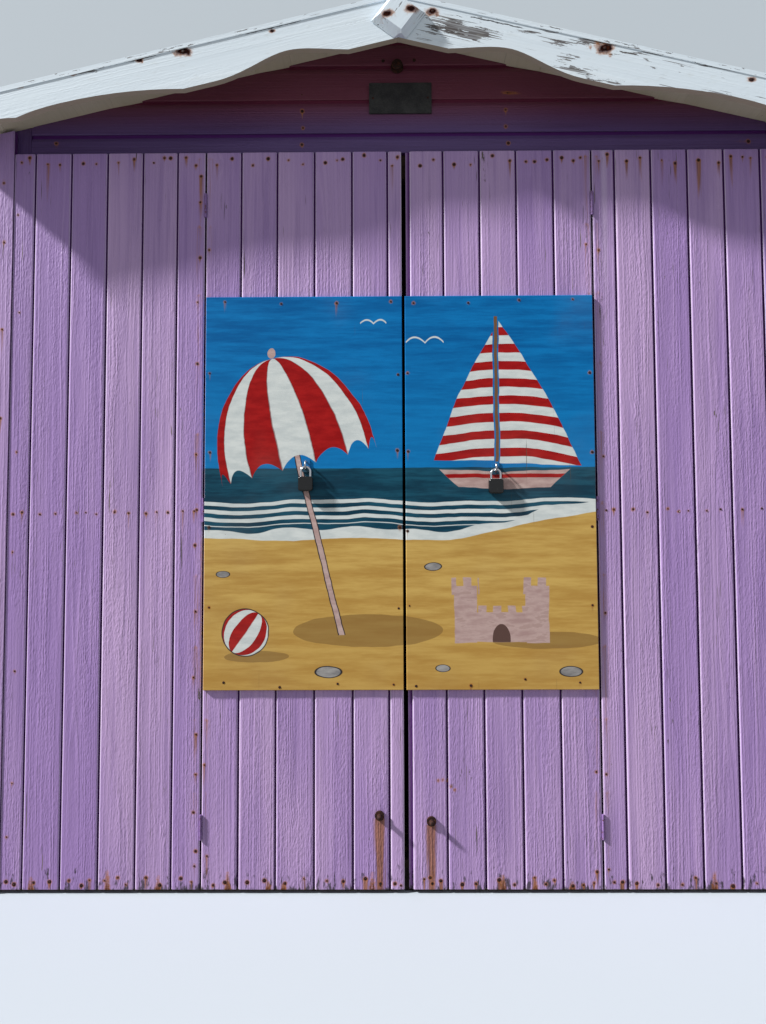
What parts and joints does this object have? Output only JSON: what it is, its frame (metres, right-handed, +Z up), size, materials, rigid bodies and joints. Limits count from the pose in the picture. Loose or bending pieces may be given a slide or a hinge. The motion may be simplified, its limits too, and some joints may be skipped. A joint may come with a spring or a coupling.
{
  "type": "beach hut",
  "caption": "Timber beach hut with lilac boarded front, pair of hinged door leaves with picture boards and padlocks, shiplap gable, scalloped white bargeboards and felt roof.",
  "frame": {"origin": "middle of the hut's footprint, on the ground", "axes": "+Z up, front with the doors faces -Y, +X to the right seen from the front"},
  "size_m": [2.816, 3.41, 2.7135],
  "materials": {
    "lilac_paint": "weathered lilac paint on softwood boards",
    "gable_paint": "weathered plum and lilac paint on shiplap",
    "white_paint": "peeling white gloss paint on softwood",
    "bare_timber": "sawn softwood",
    "roof_boards": "khaki stained boards",
    "felt": "mineral faced roofing felt",
    "picture_paint": "painted plywood, weathered",
    "slate": "dark honed slate",
    "rusty_iron": "rusted",
    "hinge_steel": "painted over, rusting",
    "bright_steel": "bright plated steel",
    "lock_body": "black moulded cover over steel"
  },
  "bodies": {
    "hut": {"floor_bearers": "bare_timber", "floor": "bare_timber", "sole_plates": "bare_timber", "wall_posts": "bare_timber", "door_posts": "bare_timber", "panel_rails": "bare_timber", "tie_beams": "bare_timber", "wall_plates": "bare_timber", "gable_studs": "bare_timber", "left_front_panel": "lilac_paint", "right_front_panel": "lilac_paint", "front_gable": "gable_paint", "left_wall": "lilac_paint", "right_wall": "lilac_paint", "rear_wall": "lilac_paint", "corner_boards": "lilac_paint", "ridge_board": "bare_timber", "rafters": "bare_timber", "left_roof_boards": "roof_boards", "right_roof_boards": "roof_boards", "roof_felt": "felt", "eaves_boards": "white_paint", "front_barges": "white_paint", "rear_barges": "white_paint", "front_cappings": "white_paint", "rear_cappings": "white_paint", "apex_blocks": "white_paint", "name_plate": "slate", "gable_knob": "rusty_iron", "frame_hinges": "hinge_steel"},
    "left_door": {"left_door_boards": "lilac_paint", "left_door_ledges": "bare_timber", "left_door_braces": "bare_timber", "left_door_hinges": "hinge_steel", "left_picture_board": "picture_paint", "left_staple": "bright_steel", "left_shackle": "bright_steel", "left_padlock": "lock_body", "left_peg": "rusty_iron"},
    "right_door": {"right_door_boards": "lilac_paint", "right_door_ledges": "bare_timber", "right_door_braces": "bare_timber", "right_door_hinges": "hinge_steel", "right_picture_board": "picture_paint", "right_staple": "bright_steel", "right_shackle": "bright_steel", "right_padlock": "lock_body", "right_peg": "rusty_iron"}
  },
  "joints": [
    {"name": "left_door_swing", "type": "hinge", "parent": "hut", "child": "left_door", "pos_m": [-0.61, -1.527, 1.125], "axis": [0, 0, -1], "range_deg": [0, 100]},
    {"name": "right_door_swing", "type": "hinge", "parent": "hut", "child": "right_door", "pos_m": [0.61, -1.527, 1.125], "axis": [0, 0, 1], "range_deg": [0, 100]}
  ]
}
